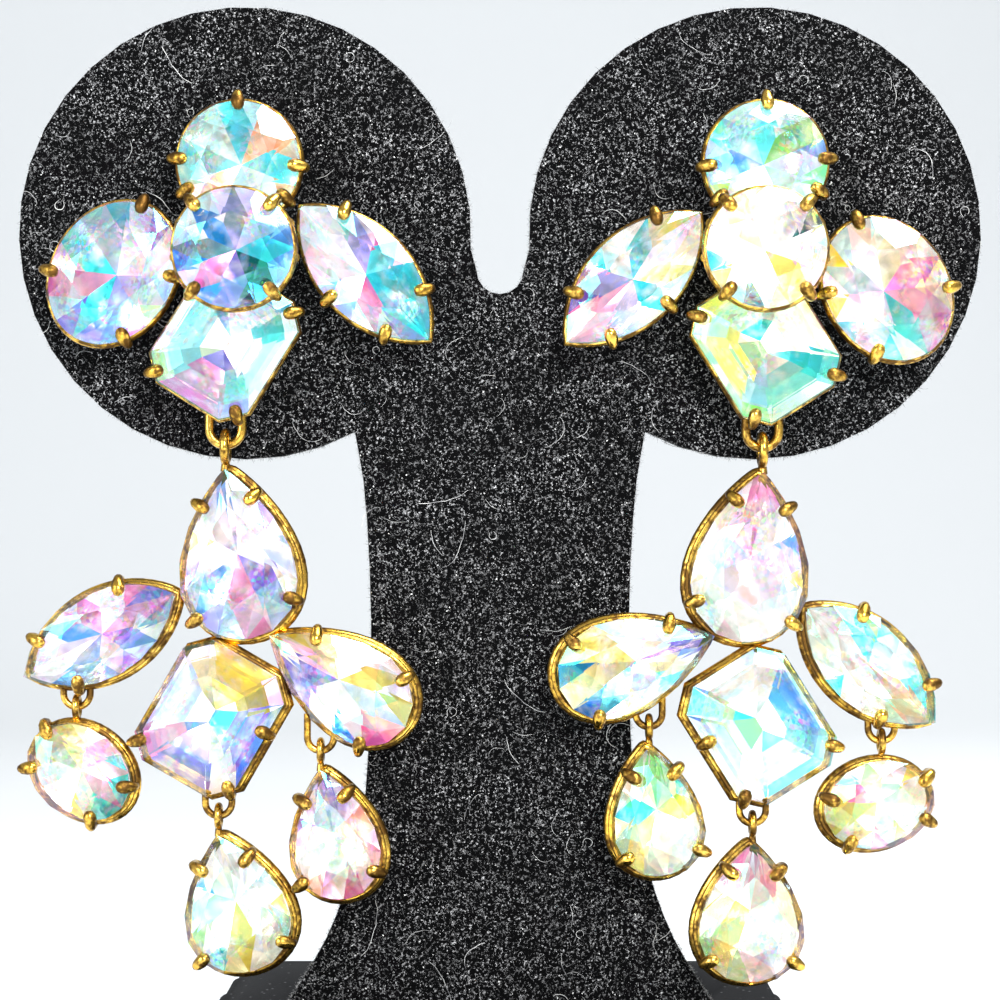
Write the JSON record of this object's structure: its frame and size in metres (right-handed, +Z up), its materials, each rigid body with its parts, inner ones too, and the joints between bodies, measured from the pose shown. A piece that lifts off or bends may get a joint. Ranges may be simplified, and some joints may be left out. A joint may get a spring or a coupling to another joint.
{
  "type": "pair of chandelier earrings on a display stand",
  "caption": "Pair of cluster chandelier earrings with cut stones in wire settings and swinging drops, posted through the lobes of a flocked display stand on a stepped base.",
  "frame": {"origin": "middle of the base's underside", "axes": "+Z up the stand, +X to the right seen from the front, the earrings face -Y"},
  "size_m": [0.0962, 0.06, 0.1062],
  "materials": {
    "metal": "antique gold, satin",
    "stone": "faceted, foil backed, iridescent",
    "flock": "black flock",
    "base_plastic": "glossy black"
  },
  "bodies": {
    "stand": {"stand_base": "base_plastic", "stand_panel": "flock", "left_top_setting": "metal", "left_centre_round": "stone", "left_crown_round": "stone", "left_top_octagon": "stone", "left_top_oval": "stone", "left_top_marquise": "stone", "left_ear_post": "metal", "right_top_setting": "metal", "right_centre_round": "stone", "right_crown_round": "stone", "right_top_octagon": "stone", "right_top_oval": "stone", "right_top_marquise": "stone", "right_ear_post": "metal"},
    "left_drop": {"left_drop_setting": "metal", "left_drop_pear": "stone", "left_drop_octagon": "stone", "left_side_pear": "stone", "left_drop_marquise": "stone", "left_oval_charm_setting": "metal", "left_oval_charm": "stone", "left_bottom_charm_setting": "metal", "left_bottom_charm": "stone", "left_pear_charm_setting": "metal", "left_pear_charm": "stone"},
    "right_drop": {"right_drop_setting": "metal", "right_drop_pear": "stone", "right_drop_octagon": "stone", "right_side_pear": "stone", "right_drop_marquise": "stone", "right_oval_charm_setting": "metal", "right_oval_charm": "stone", "right_bottom_charm_setting": "metal", "right_bottom_charm": "stone", "right_pear_charm_setting": "metal", "right_pear_charm": "stone"}
  },
  "joints": [
    {"name": "left_drop_swing", "type": "hinge", "parent": "stand", "child": "left_drop", "pos_m": [-0.02688, -0.00636, 0.06238], "axis": [-1, 0, 0], "range_deg": [-2, 60]},
    {"name": "right_drop_swing", "type": "hinge", "parent": "stand", "child": "right_drop", "pos_m": [0.02571, -0.00636, 0.06209], "axis": [-1, 0, 0], "range_deg": [-2, 60]}
  ]
}
